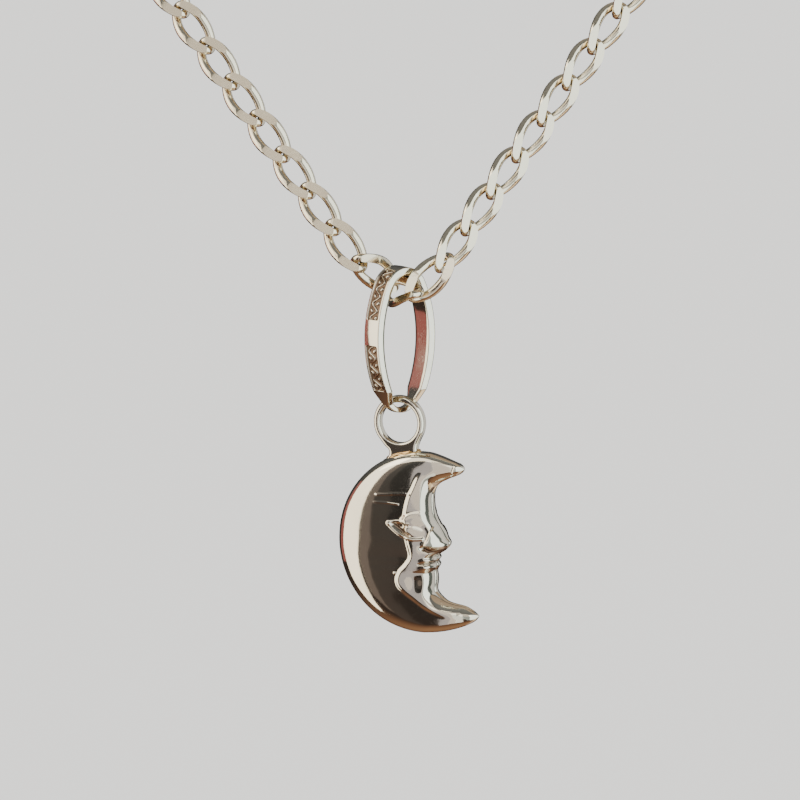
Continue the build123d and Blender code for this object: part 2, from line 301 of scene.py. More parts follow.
def link_middles():
    """Points and directions round the whole link, closer together in the bends."""
    line = np.array([link_point(turn) for turn in np.linspace(0, 2 * pi, fine_steps + 1)])
    run = np.diff(line, axis=0)
    lengths = np.linalg.norm(run, axis=1)
    ways = run / lengths[:, None]
    turning = np.arccos(np.clip((np.roll(ways, -1, axis=0) * ways).sum(1), -1, 1))
    weight = np.concatenate([[0], np.cumsum(turning + weight_of_run * lengths)])
    spread = np.arange(link_sections) / link_sections * weight[-1]
    middles = []
    for pick in np.interp(spread, weight, np.arange(fine_steps + 1)).astype(int):
        before, after = line[(pick - 2) % fine_steps], line[(pick + 3) % fine_steps]
        middles.append((line[pick], unit(after - before)))
    return middles


# %% The tube on that line, filed flat
def filed_ring(middle, way):
    """One ring of the wire's points, with a pair on the rims of each filed face."""
    up = unit((0, 0, 1) - way * way[2])
    over = np.cross(way, up)
    width = wire + (strand_width - wire) * (1 - (middle[0] / link_reach) ** 2)
    filed_level = filed_thickness / 2
    levels = np.array([filed_level - middle[2], filed_level + middle[2]])
    facets = np.arccos(np.clip(levels / (wire / 2 * up[2]), -1, 1))
    top, bottom = np.maximum(facets, least_facet)
    left = np.linspace(top, pi - bottom, side_points)
    angles = np.concatenate([left, 2 * pi - left[::-1]])
    ring = middle + np.outer(np.cos(angles) * wire / 2, up)
    ring += np.outer(np.sin(angles) * width / 2, over)
    ring[:, 2] = np.clip(ring[:, 2], -filed_level, filed_level)
    return ring


link_points = np.concatenate([filed_ring(middle, way) for middle, way in link_middles()])
link_faces = grid_faces(link_sections, 2 * side_points)
one_link = new_piece("one_link", link_points, link_faces, chain_gold, sharp=32)
print("one link has", 2 * len(link_faces), "triangles")

# %% [markdown]
# ## Where each link lies
#
# A chain under its own weight hangs in a smooth curve, but it can't twist as a
# string does: each link carries on the turn of the one before. So a frame is
# carried along the route and only leaned as far as the route bends. The left leg
# shows its faces to the front and the right leg is rolled a little about its own
# line. Three links at the bottom turn back and forth, where the bail hangs, and
# their places are given one by one.

# %% The route over the shoulder
chest_lean, v_half_angle = radians(18), radians(34.4)
leg_side, leg_rise = 3.6, 3.05
roll_left, roll_right = 0.0, radians(30)
route_corners = [(38, -86, -66), (58, -59, -37), (53, -24, -12), (28, 0, 0)]
route_radii = [60, 45, 40, 29]
bottom_links = [
    # place from the middle of the V's bottom link, and turns about X, Y and Z
    ((-1.58, 0.51, 1.28), (106, 26, -40)),
    ((0, 0, 0), (40, -41, -37)),
    ((2.0, -0.57, 1.05), (78, -5, 45)),
]
to_right = np.array([1.0, 0, 0])
up_chest = np.array([0, sin(chest_lean), cos(chest_lean)])
out_of_chest = np.cross(to_right, up_chest)
up_leg = to_right * sin(v_half_angle) + up_chest * cos(v_half_angle)
first_corner = np.array(route_corners[0])
leg_foot = first_corner - up_leg * (first_corner[0] - leg_side) / up_leg[0]
v_bottom = np.array([0, leg_foot[1], leg_foot[2] - leg_rise])
route = rounded_line([leg_foot, *route_corners, (0, 0, 0)], route_radii, arc_step=0.5)
route_along = distances_along(route)
print("way from the V to the nape, mm", round(route_along[-1], 2))

end_ring_radius, end_ring_wire, hook_gap = 1.2, 0.6, 0.13
bolt_radius, bolt_wire, eye_radius, eye_wire = 2.3, 0.9, 0.9, 0.5
ring_hook = link_reach - (wire + end_ring_wire) / 2 - hook_gap
ring_to_bolt = end_ring_radius + bolt_radius - (end_ring_wire + bolt_wire) / 2 - hook_gap
bolt_to_eye = bolt_radius + bolt_wire / 2 + eye_radius - eye_wire / 4
eye_hook = link_reach - (wire + eye_wire) / 2 - hook_gap
clasp_span = ring_hook + end_ring_radius + ring_to_bolt + bolt_to_eye + eye_radius + eye_hook
leg_length = (2 * route_along[-1] - clasp_span) / 2
link_steps = round(leg_length / link_pitch)
link_step = leg_length / link_steps


def route_point(distance):
    """The point at a distance along the route."""
    return np.array([np.interp(distance, route_along, axis) for axis in route.T])


def route_way(distance, reach=0.02):
    """The direction of the route at a distance along it."""
    low = route_point(max(0.0, distance - reach))
    return unit(route_point(min(route_along[-1], distance + reach)) - low)


# %% A frame for each link
def leg_frames(roll, leg):
    """Middle and axes, in columns, of each link up the right leg, 1, or left leg, -1."""
    flip = np.array([leg, 1, 1])
    frames, face = [], out_of_chest
    for place in range(link_steps + 1):
        onward = route_way(place * link_step)
        face = unit(face - onward * (face @ onward))
        along = onward * flip * leg
        outward = face * flip
        across = np.cross(outward, along)
        rolled = across * cos(roll) + outward * sin(roll)
        axes = np.array([along, rolled, np.cross(along, rolled)]).T
        frames.append((route_point(place * link_step) * flip, axes))
    return frames


right_leg, left_leg = leg_frames(roll_right, 1), leg_frames(roll_left, -1)
bottom_frames = []
for place, turns in bottom_links:
    turn = Matrix.Identity(3)
    for angle, axis in zip(turns, "XYZ"):
        turn = turn @ Matrix.Rotation(radians(angle), 3, axis)
    bottom_frames.append((v_bottom + place, np.array(turn)))
link_frames = bottom_frames + right_leg + left_leg
print("links", len(link_frames), "leg, mm", round(leg_length, 2), "step", round(link_step, 4))

# %% [markdown]
# ## The chain, by Geometry Nodes
#
# There are more than a hundred links and they are all alike, which is what
# instances are for. A cloud of points holds the middle of each link and its turn
# as an attribute. The tree puts the link on every point, makes the instances
# real and gives them the gold. The result becomes a plain mesh.

# %% The tree that places the links
inputs = [("Points", "NodeSocketGeometry", None), ("Link", "NodeSocketObject", None)]
inputs += [("Metal", "NodeSocketMaterial", None), ("Size", "NodeSocketFloat", 1.0)]
outputs = [("Chain", "NodeSocketGeometry")]
tree = link_tree = group_tree("place links", "GeometryNodeTree", inputs, outputs)
given = add_node(tree, "NodeGroupInput").outputs
shape = add_node(tree, "GeometryNodeObjectInfo", {"Object": given["Link"]})
turn = add_node(tree, "GeometryNodeInputNamedAttribute", data_type="QUATERNION")
feed(tree, turn, {"Name": "turn"})
on_points = {
    "Points": given["Points"],
    "Instance": shape.outputs["Geometry"],
    "Rotation": turn.outputs["Attribute"],
    "Scale": given["Size"],
}
place = add_node(tree, "GeometryNodeInstanceOnPoints", on_points)
instances = {"Geometry": place.outputs["Instances"]}
real = add_node(tree, "GeometryNodeRealizeInstances", instances)
bare = {"Geometry": real.outputs["Geometry"], "Material": given["Metal"]}
metal = add_node(tree, "GeometryNodeSetMaterial", bare)
add_node(tree, "NodeGroupOutput", {"Chain": metal.outputs["Geometry"]})
print("nodes that place the links", len(tree.nodes))

# %% Build the chain
points = new_piece("chain_points", [middle for middle, _ in link_frames], [])
turns = points.data.attributes.new("turn", "QUATERNION", "POINT")
for value, (_, axes) in zip(turns.data, link_frames):
    value.value = Matrix(axes.tolist()).to_quaternion()

grow = points.modifiers.new("place links", "NODES")
grow.node_group = link_tree
given = {"Link": one_link, "Metal": chain_gold, "Size": 1.0}
for item in link_tree.interface.items_tree:
    if item.name in given:
        grow[item.identifier] = given[item.name]
chain_mesh = plain_mesh(points)
points.modifiers.remove(grow)
chain = in_scene("chain_links", chain_mesh)
for helper in (points, one_link):
    bpy.data.objects.remove(helper)
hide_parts("chain")
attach(chain, "root")
chain_mesh.calc_loop_triangles()
print("chain triangles", len(chain_mesh.loop_triangles))
for corner, cad in zip(np.array(chain.bound_box)[[0, 6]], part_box("chain")):
    print("chain corner off the CAD by, mm:", np.round((corner - np.array(cad)) / MM, 3))

# %% [markdown]
# ## Clasp and end ring
#
# The photo doesn't show how the chain closes, so it closes plainly: a bolt ring
# with its small soldered eye, and the jump ring that it catches. Rings of round
# wire are one formula. A little collar of solder covers the joint of the eye, as
# a maker leaves it.

# %% Rings of round wire
def ring_mesh(middle, normal, start, radius, thickness, around=96, tube=28):
    """Points of a ring of round wire, and the faces between them."""
    normal, start = unit(normal), unit(start)
    over = np.cross(normal, start)
    angles = np.linspace(0, 2 * pi, tube, endpoint=False)
    points = []
    for turn in np.linspace(0, 2 * pi, around, endpoint=False):
        out = start * cos(turn) + over * sin(turn)
        ring = np.outer(np.cos(angles), out) + np.outer(np.sin(angles), normal)
        points.append(middle + out * radius + thickness / 2 * ring)
    return np.concatenate(points), grid_faces(around, tube)


def joined(meshes):
    """Several lists of points and faces as one."""
    all_faces, count = [], 0
    for points, faces in meshes:
        all_faces += [tuple(corner + count for corner in face) for face in faces]
        count += len(points)
    return np.concatenate([points for points, _ in meshes]), all_faces


# %% The clasp and the end ring in place
def wire_across(frame_axes, end):
    """The line that the wire takes across a link's front end, 1, or back end, -1."""
    turn = -link_twist * end
    return frame_axes[:, 1] * cos(turn) + frame_axes[:, 2] * sin(turn)


last_right, last_left = right_leg[-1], left_leg[-1]
inward = last_right[1][:, 0]
ring_normal = wire_across(last_right[1], 1)
end_ring_middle = last_right[0] + inward * (ring_hook + end_ring_radius)
bolt_middle = end_ring_middle + inward * ring_to_bolt
eye_middle = bolt_middle + inward * bolt_to_eye
bolt_normal = np.cross(ring_normal, inward)
eye_normal = wire_across(last_left[1], -1)

end_mesh = ring_mesh(end_ring_middle, ring_normal, inward, end_ring_radius, end_ring_wire)
end_ring = new_piece("end_ring_wire", *end_mesh, chain_gold)
joint_middle = bolt_middle + inward * (bolt_radius + bolt_wire / 2)
collar_radius = eye_wire * 0.35
clasp_meshes = [
    ring_mesh(bolt_middle, bolt_normal, -inward, bolt_radius, bolt_wire, 128, 36),
    ring_mesh(eye_middle, eye_normal, inward, eye_radius, eye_wire, 80, 24),
    ring_mesh(joint_middle, inward, bolt_normal, collar_radius, 2 * collar_radius, 40, 20),
]
clasp = new_piece("clasp_rings", *joined(clasp_meshes), chain_gold)
print("middle of the clasp, mm", np.round(bolt_middle, 2))
for piece, node in ((end_ring, "end_ring"), (clasp, "clasp")):
    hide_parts(node)
    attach(piece, "root")

# %% [markdown]
# ## The bail
#
# The bail is a flat band bent into a tall oval and soldered shut at its foot.
# Its rims are softly rounded, and its outer face has two stamped fields, with a
# plain vine and its small leaves down each. The oval is six arcs outside and six
# inside. Walking round both at once gives each section of the band, and a small
# map of depths presses the fields into its outer face.

# %% Six arcs outside and inside
bail_height, bail_width, bail_band, bail_wall = 9.75, 4.78, 1.56, 0.55
bail_top_radius, bail_foot_radius = 1.7, 1.5
bail_foot_wall, bail_foot_band, bail_taper_height = 0.34, 0.6, 1.5
bail_shoulder, bail_yaw = 3.0, radians(37)
bail_drop = bail_height - bail_top_radius
arc_steps = (130, 180, 60, 60, 40, 150)


def side_arc(half, end_radius, reach):
    """Radius of the arc from the widest level to an end arc, and its angle."""
    radius = (half**2 - end_radius**2 + reach**2) / (2 * (half - end_radius))
    return radius, atan2(reach, radius - half)


def oval(half, top_radius, foot_radius, foot_middle):
    """Points round the oval, from the left end of its top arc down the left side."""
    above, turn_above = side_arc(half, top_radius, bail_shoulder)
    below, turn_below = side_arc(half, foot_radius, foot_middle - bail_shoulder)
    arcs = [
        # middle, radius, start and turn of each arc
        ((above - half, -bail_shoulder), above, pi - turn_above, turn_above),
        ((below - half, -bail_shoulder), below, pi, turn_below),
        ((0, -foot_middle), foot_radius, pi + turn_below, pi - 2 * turn_below),
        ((half - below, -bail_shoulder), below, -turn_below, turn_below),
        ((half - above, -bail_shoulder), above, 0, turn_above),
        ((0, 0), top_radius, turn_above, pi - 2 * turn_above),
    ]
    points = []
    for (middle, radius, start, turn), steps in zip(arcs, arc_steps):
        for angle in np.linspace(start, start + turn, steps, endpoint=False):
            points.append((middle[0] + radius * cos(angle), middle[1] + radius * sin(angle)))
    return np.array(points)


bail_half = bail_width / 2
inner_foot_radius = bail_foot_radius - bail_wall
inner_foot = bail_drop - bail_foot_wall - inner_foot_radius
outside = oval(bail_half, bail_top_radius, bail_foot_radius, bail_drop - bail_foot_radius)
inside = oval(bail_half - bail_wall, bail_top_radius - bail_wall, inner_foot_radius, inner_foot)
print("points round the bail", len(outside))

# %% Where the ring of the moon bears on the foot of the bail
ring_hole, ring_wall, ring_depth, ring_gap = 1.35, 0.47, 0.7, 0.05
moon_yaw = radians(-24)
crossing = pi / 2 - bail_yaw + moon_yaw
crossing_half = (bail_foot_band / cos(crossing) + ring_depth * tan(crossing)) / 2
crossing_reach = crossing_half * sin(crossing) + ring_depth / 2 * cos(crossing)
foot_curve = inner_foot_radius - sqrt(inner_foot_radius**2 - crossing_reach**2)
foot_hold = bail_foot_wall + foot_curve
hang = sqrt(ring_hole**2 - crossing_half**2) - foot_curve - ring_gap
ring_middle = v_bottom - (0, 0, bail_drop - bail_foot_wall + hang)
print("ring of the moon, mm", np.round(ring_middle, 3))

# %% The stamped fields as a map of depths
field_depth, field_rim, field_corner, field_slope = 0.11, 0.21, 0.14, 0.05
# start and end of each field down the left side from the top arc's end, in shares
# of the bail's height
fields = [(-0.115, 0.263), (0.441, 0.764)]
vine_rise, vine_pitch, vine_swing, vine_fade, stem_width = 0.10, 0.98, 0.27, 0.12, 0.085
leaf_off, leaf_half_wide, leaf_half_long = 0.24, 0.19, 0.15
leaf_slant, leaf_edge = 0.4, 1.8


def smooth_step(value):
    """From 0 to 1 with soft ends."""
    value = np.clip(value, 0, 1)
    return value * value * (3 - 2 * value)


def vine_height(down, across):
    """Height of a stem that waves from side to side, with a leaf in every bend."""
    half_waves = 2 * down / vine_pitch
    bend = int(half_waves // 1)
    stem = np.exp(-(((across - vine_swing * sin(pi * half_waves)) / stem_width) ** 2))
    out = (across if bend % 2 else -across) - leaf_off
    along = (half_waves - bend - 0.5) * vine_pitch / 2 + leaf_slant * out
    leaf = smooth_step(leaf_edge * (1 - hypot(out / leaf_half_wide, along / leaf_half_long)))
    return vine_rise * max(stem, leaf)


def field_depths(down, across, half_band):
    """How far the outer face is pressed in, at a place down the side and across."""
    for start, end in fields:
        half_long = (end - start) * bail_height / 2
        middle = (start + end) / 2 * bail_height
        beyond_long = abs(down - middle) - (half_long - field_corner)
        beyond_wide = abs(across) - (half_band - field_rim - field_corner)
        inside_by = field_corner - hypot(max(beyond_long, 0), max(beyond_wide, 0))
        if inside_by > 0:
            rise = vine_height(down - middle, across) * smooth_step(inside_by / vine_fade)
            return field_depth * smooth_step(inside_by / field_slope) - rise
    return 0.0


# %% Sections of the band all the way round
face_columns, rim_steps, rim_round, rim_share = 46, 4, 0.09, 0.4
face_crown, crown_shift, crown_level = 0.03, 0.65, 1.4
side_shares, inner_shares = (0.35, 0.5, 0.65), (0.6, 0.3, 0.0, -0.3, -0.6)
# sections beyond this share of the way round are counted back from the first one
counted_back = 0.7


def band_half(height):
    """Half the band's width at a height below the middle of the top arc."""
    low, high = foot_hold - bail_drop, bail_taper_height - bail_drop
    share = np.clip((height - low) / (high - low), 0, 1)
    return (bail_foot_band + (bail_band - bail_foot_band) * share) / 2


def band_section(outer, inner, down):
    """Points round one section: across the outer face, and back over the inner."""
    half = band_half(outer[1])
    wall = np.linalg.norm(inner - outer)
    through = (inner - outer) / wall
    corner = min(rim_round, wall * rim_share)
    flat_half = half - corner
    spots = []
    for across in np.linspace(-flat_half, flat_half, face_columns):
        crown = face_crown * ((across / flat_half + crown_shift) ** 2 - crown_level)
        crown *= (half / bail_band * 2) ** 2
        pressed = field_depths(down, across, half)
        spots.append((across, crown + pressed, pressed / field_depth))
    corners = [
        # side, depth and first angle of each rounded corner, and the spots after it
        (1, corner, 0, [(half, wall * share, 0) for share in side_shares]),
        (1, wall - corner, pi / 2, [(half * share, wall, 0) for share in inner_shares]),
        (-1, wall - corner, pi, []),
        (-1, corner, 1.5 * pi, []),
    ]
    for side, level, first, after in corners:
        for angle in first + np.linspace(0, pi / 2, rim_steps + 1)[1:]:
            across = side * flat_half + corner * sin(angle)
            spots.append((across, level - corner * cos(angle), 0))
        spots += after
    spots.pop()
    return [(*(outer + through * depth), across, pressed) for across, depth, pressed in spots]


round_way = distances_along(outside)
whole_way = round_way[-1] + np.linalg.norm(outside[0] - outside[-1])
round_way = np.where(round_way > whole_way * counted_back, round_way - whole_way, round_way)
sections = np.array([band_section(*row) for row in zip(outside, inside, round_way)])


def facing(yaw):
    """Axes of an upright plane that faces the front, turned by its yaw, in columns."""
    return np.array([(cos(yaw), sin(yaw), 0), (0, 0, 1), (sin(yaw), -cos(yaw), 0)]).T


bail_points = v_bottom + sections[:, :, :3].reshape(-1, 3) @ facing(bail_yaw).T
bail_faces = grid_faces(*sections.shape[:2])
bail_hollow = np.clip(sections[:, :, 3], 0, 1).reshape(-1)
bail = new_piece("bail_band", bail_points, bail_faces, bail_gold, hollow=bail_hollow)
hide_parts("bail")
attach(bail, "bail")
print("bail triangles", 2 * len(bail_faces))

# %% [markdown]
# ## The moon
#
# A puffed charm is two thin shells, stamped from sheet and soldered edge to
# edge. Each shell is one half of the moon, so only one half is modelled, and the
# other is its mirror image. The half is a grid: its rows run from the outer edge
# of the crescent to the inner edge, from horn to horn. A table holds where each
# row ends, and a formula gives the dome between. The face is added as strokes
# and patches, each a named rise over the dome, just as a die cutter works.

# %% Rows of the crescent
moon_radius, moon_side, moon_thickness, puff_width = 6.08, 1.86, 3.0, 2.5
moon_tilt, ring_lift = radians(-0.85), 0.79
crest_share, outer_roundness, puff_power = 0.42, 2.6, 0.85
ridge_radius, nose_radius, horn_radius, wall_crown = 0.5, 1.1, 1.0, 0.12
moon_drop = ring_hole + ring_lift + sqrt(moon_radius**2 - moon_side**2)
moon_rows = [
    # each row's outer edge, angle in degrees and reach, and inner edge, side and height
    (65.7, 0.990, 0.415, 0.771), (72, 0.980, 0.321, 0.732), (88, 1, 0.178, 0.656),
    (102, 1, 0.123, 0.590), (118, 1, 0.094, 0.493), (138, 1, 0.105, 0.352),
    (150, 1, 0.135, 0.265), (163, 1, 0.219, 0.145), (170.5, 1, 0.266, 0.067),
    (177, 1, 0.311, 0.003), (182, 1, 0.262, -0.066), (186.5, 1, 0.196, -0.113),
    (190.5, 1, 0.164, -0.142), (194, 1, 0.176, -0.170), (198, 1, 0.158, -0.207),
    (202, 1, 0.174, -0.245), (208, 1, 0.146, -0.310), (214, 1, 0.152, -0.372),
    (221, 1, 0.153, -0.436), (229, 1, 0.146, -0.500), (236, 1, 0.160, -0.543),
    (248, 1, 0.225, -0.597), (260, 1, 0.308, -0.640), (276, 1.005, 0.434, -0.661),
    (289, 1.015, 0.535, -0.673), (306.2, 1.052, 0.595, -0.7135),
]
moon_rows = np.array(moon_rows)


# %% Rows between the rows of a table
def smooth_rows(table, places):
    """Rows between the rows of a table, at places counted in rows."""
    row = np.clip(places.astype(int), 0, len(table) - 2)
    share = (places - row)[:, None]
    before, start, end, after = (
        table[np.clip(row + step, 0, len(table) - 1)] for step in (-1, 0, 1, 2)
    )
    value = 2 * start + (end - before) * share
    value += (2 * before - 5 * start + 4 * end - after) * share**2
    value += (3 * start - before - 3 * end + after) * share**3
    return value / 2


turn_weight, fine_rows = 0.12, 6000
feature_middle, feature_reach, feature_weight = -0.01, 0.38, 2.2


def evenly_spread(count):
    """Places between the moon's rows, even along the inner edge, closer on the face."""
    fine = np.linspace(0, len(moon_rows) - 1, fine_rows)
    rows = smooth_rows(moon_rows, fine)
    steps = np.hypot(np.diff(rows[:, 2]), np.diff(rows[:, 3]))
    steps += turn_weight * np.radians(np.abs(np.diff(rows[:, 0])))
    on_face = np.abs(rows[1:, 3] - feature_middle) < feature_reach
    steps *= np.where(on_face, feature_weight, 1.0)
    along = np.concatenate([[0], np.cumsum(steps)])
    return np.interp(np.linspace(0, along[-1], count), along, fine)


# %% Strokes of the face
face_edge = [
    # side and height of the raised face's edge, from the upper horn to the lower
    (2.40, 5.55), (1.00, 5.30), (0.40, 5.05), (0.00, 4.72), (-0.39, 3.77),
    (-0.68, 3.06), (-0.88, 1.98), (-0.84, 1.30), (-0.66, 0.30), (-0.43, -0.55),
    (-0.48, -1.00), (-0.80, -1.47), (-1.17, -1.90), (-1.36, -2.41), (-1.24, -2.90),
    (-0.78, -3.32), (-0.10, -3.78), (0.58, -4.22), (1.56, -4.74), (2.60, -5.30),
]
face_rise, face_slope, face_lean, lean_reach = 0.13, 0.36, 0.10, 1.8
face_end, face_fade = 5.0, 0.9
strokes = [
    # name, width, rise, and the points of the stroke as (side, height)
    ("lower lid", 0.11, 0.10,
     [(-1.99, 1.31), (-1.56, 0.93), (-1.17, 0.66), (-0.70, 0.46), (-0.15, 0.38), (0.42, 0.42)]),
    ("upper lid", 0.10, 0.06, [(-1.99, 1.33), (-1.50, 1.47), (-1.00, 1.47), (-0.62, 1.36)]),
    ("brow", 0.15, 0.08,
     [(-0.98, 1.62), (-0.62, 1.88), (-0.30, 2.02), (0.19, 2.08), (0.70, 1.94), (1.00, 1.50)]),
    ("groove of the outer corner", 0.13, -0.08,
     [(-1.60, 1.26), (-1.25, 1.02), (-0.85, 0.74), (-0.56, 0.62)]),
    ("under the nose", 0.13, -0.13, [(0.58, -0.26), (1.00, -0.40), (1.60, -0.38)]),
    ("mouth", 0.06, -0.07, [(0.20, -1.32), (0.60, -1.27), (1.10, -1.26)]),
    ("upper scratch", 0.052, 0.050,
     [(-2.92, 3.16), (-1.90, 3.26), (-1.17, 3.34), (-0.60, 3.31)]),
    ("lower scratch", 0.048, 0.036, [(-3.10, 2.65), (-2.20, 2.66), (-1.36, 2.61)]),
]

# %% Patches of the face
patches = [
    # name, side, height, half width, half height, turn in degrees, rise, flatness
    # of the top, and the share by which its left side is higher than its middle
    ("hollow of the eye", -0.30, 1.10, 1.25, 0.66, -12, -0.09, 2, 0),
    ("bulge over the lid", -0.10, 1.55, 0.86, 0.36, 2, 0.12, 1.5, 0.7),
    ("eyelid", -0.12, 0.87, 0.78, 0.33, -10, 0.10, 3, 0.9),
    ("nostril", 0.46, -0.22, 0.16, 0.13, 0, -0.12, 1, 0),
    ("wing of the nose", 0.66, 0.06, 0.24, 0.22, 0, 0.07, 1, 0),
    ("cheekbone", -0.10, -0.25, 0.50, 0.60, 0, 0.04, 1, 0),
    ("upper lip", 0.80, -1.00, 0.42, 0.16, 4, 0.08, 1, 0),
    ("lower lip", 0.78, -1.54, 0.38, 0.17, -3, 0.08, 1, 0),
    ("under the lip", 0.50, -1.94, 0.60, 0.16, 0, -0.04, 1, 0),
    ("hollow of the cheek", -0.14, -2.62, 0.44, 0.56, 0, -0.075, 1, 0),
    ("chin", 0.70, -2.55, 0.36, 0.50, 0, 0.04, 1, 0),
    ("dot on the cheek", -1.52, -2.02, 0.07, 0.07, 0, 0.05, 1, 0),
]
nose_facet = [(1.05, 1.50), (0.54, -0.10), (2.00, -0.24)]
facet_rise, facet_slope = 0.15, 0.13
print("face of", len(strokes), "strokes and", len(patches), "patches")

# %% How far the face stands up at each place
def along_stroke(side, height, stroke):
    """Distance of each place from a stroke's smooth line, and its side of the line."""
    fine = smooth_rows(np.array(stroke), np.linspace(0, len(stroke) - 1, 10 * len(stroke)))
    best = np.full(side.shape, np.inf)
    left = np.zeros(side.shape)
    for start, end in zip(fine, fine[1:]):
        run = end - start
        over, up = side - start[0], height - start[1]
        share = np.clip((over * run[0] + up * run[1]) / (run @ run), 0, 1)
        away = np.hypot(over - share * run[0], up - share * run[1])
        nearer = away < best
        best = np.where(nearer, away, best)
        left = np.where(nearer, np.sign(run[0] * up - run[1] * over), left)
    return best, left


def relief(side, height):
    """Rise of the face over the dome, and depth of its grooves, in millimetres."""
    away, left = along_stroke(side, height, face_edge)
    fade = smooth_step((face_end - height) / face_fade)
    fade *= smooth_step((height + face_end) / face_fade)
    inside = away * left
    rise = face_rise * smooth_step(inside / face_slope + 0.5) * fade
    rise -= face_lean * np.clip(inside, 0, lean_reach) * fade
    carved = np.zeros(side.shape)
    for _, width, stroke_rise, stroke in strokes:
        away, _ = along_stroke(side, height, stroke)
        part = stroke_rise * np.exp(-((away / width) ** 2))
        rise += part
        carved -= np.minimum(part, 0)
    for _, at_side, at_height, half_wide, half_high, turn, patch_rise, flat, lean in patches:
        turned = radians(turn)
        wide = (side - at_side) * cos(turned) + (height - at_height) * sin(turned)
        high = (height - at_height) * cos(turned) - (side - at_side) * sin(turned)
        away = (wide / half_wide) ** 2 + (high / half_high) ** 2
        rise += patch_rise * (1 - lean * wide / half_wide) * np.exp(-(away**flat))
    inside = np.full(side.shape, np.inf)
    for start, end in zip(nose_facet, nose_facet[1:]):
        run = np.subtract(end, start)
        off = run[0] * (height - start[1]) - run[1] * (side - start[0])
        inside = np.minimum(inside, off / np.hypot(*run))
    return rise + facet_rise * smooth_step(inside / facet_slope), carved


# %% The columns of the half shell, and the caps on its horns
row_count, cap_rows = 330, 8
face_start, wall_start = 0.5, 0.96


def shares_across(outer_count, face_count, wall_count):
    """Places of the columns from the outer edge, 0, to the inner edge, 1."""
    outer_part = face_start * (1 - np.cos(np.linspace(0, pi / 2, outer_count + 1)[:-1]))
    face_part = np.linspace(face_start, wall_start, face_count + 1)[:-1]
    wall_part = 1 - (1 - wall_start) * np.linspace(1, 0, wall_count) ** 2
    return np.concatenate([outer_part, face_part, wall_part])[None, :]


def eased(rows, reach=30, passes=40):
    """The same rows, smoothed where the cap meets the horn at each end."""
    for _ in range(passes):
        middle = (rows[:-2] + 2 * rows[1:-1] + rows[2:]) / 4
        rows[1:reach] = middle[: reach - 1]
        rows[-reach:-1] = middle[1 - reach :]
    return rows


def capped(outer, inner, crest):
    """The same rows with a round cap of a few more rows on the horn at each end."""
    middles = (outer + inner) / 2
    parts = [(outer, inner, crest)]
    for end, before in ((0, 4), (-1, -5)):
        half = (outer[end] - inner[end]) / 2
        onward = unit(middles[end] - middles[before]) * np.linalg.norm(half)
        turns = np.linspace(0, pi / 2, cap_rows + 1)[1:, None]
        cap_middles = middles[end] + onward * np.sin(turns)
        cap = [cap_middles + half * np.cos(turns), cap_middles - half * np.cos(turns)]
        cap.append(crest[end] * np.cos(turns))
        parts = [[row[::-1] for row in cap]] + parts if end == 0 else parts + [cap]
    return [eased(np.concatenate(column)) for column in zip(*parts)]


# %% One half of the moon
inner_seam, outer_seam, seam_width = 0.12, 0.03, 0.13
nose_height, nose_reach, horn_height, horn_fade = 0.05, 0.40, 3.0, 1.2
full_width, full_dome, full_film_depth = 1.5, 0.8, 0.09


def dome_over(inner, width, share):
    """Height of the dome, as a share of the height of each row's crest."""
    from_crest = np.maximum(0, 1 - share / crest_share)
    outer_dome = np.maximum(0, 1 - from_crest**outer_roundness) ** (1 / outer_roundness)
    at_nose = np.exp(-(((inner[:, 1:] - nose_height) / nose_reach) ** 2))
    at_horns = smooth_step((np.abs(inner[:, 1:]) - horn_height) / horn_fade)
    radius = ridge_radius + (nose_radius - ridge_radius) * at_nose
    radius += (horn_radius - ridge_radius) * at_horns
    radius = np.minimum(radius, 0.5 * width + 1e-9)
    into_ridge = np.clip(1 - (1 - share) * width / radius, 0, 1)
    crown = 1 - wall_crown * np.clip((share - crest_share) / (1 - crest_share), 0, 1) ** 2
    return outer_dome * crown * np.sqrt(1 - into_ridge**2)


def half_moon(way, share):
    """Points of one half in the moon's plane, from horn to horn, and its hollows."""
    rows = smooth_rows(moon_rows, evenly_spread(row_count - 2 * cap_rows))
    angle = np.radians(rows[:, 0])
    outer = moon_radius * rows[:, 1, None] * np.array([np.cos(angle), np.sin(angle)]).T
    inner = moon_radius * rows[:, 2:]
    width = np.linalg.norm(inner - outer, axis=1)[:, None]
    crest = moon_thickness / 2 * (1 - np.exp(-((width / puff_width) ** puff_power)))
    outer, inner, crest = capped(outer, inner, crest)
    width = np.linalg.norm(inner - outer, axis=1)[:, None]
    broad = np.minimum(1, width / full_width)

    dome = dome_over(inner, width, share)
    side, height = (outer[:, [axis]] + (inner - outer)[:, [axis]] * share for axis in (0, 1))
    rise, carved = relief(side, height)
    depth = crest * dome + rise * np.minimum(1, dome / full_dome) * broad
    into = (outer - inner) / np.maximum(width, 1e-6)
    seam = np.where(share > 0.5, inner_seam, -outer_seam) * broad
    seam *= np.exp(-((depth / seam_width) ** 2))
    side += into[:, :1] * seam
    height += into[:, 1:] * seam
    hollow = np.clip(carved / full_film_depth, 0, 1)
    points = np.stack([side, height, way * depth], axis=-1)
    return points.reshape(-1, 3), hollow.reshape(-1)


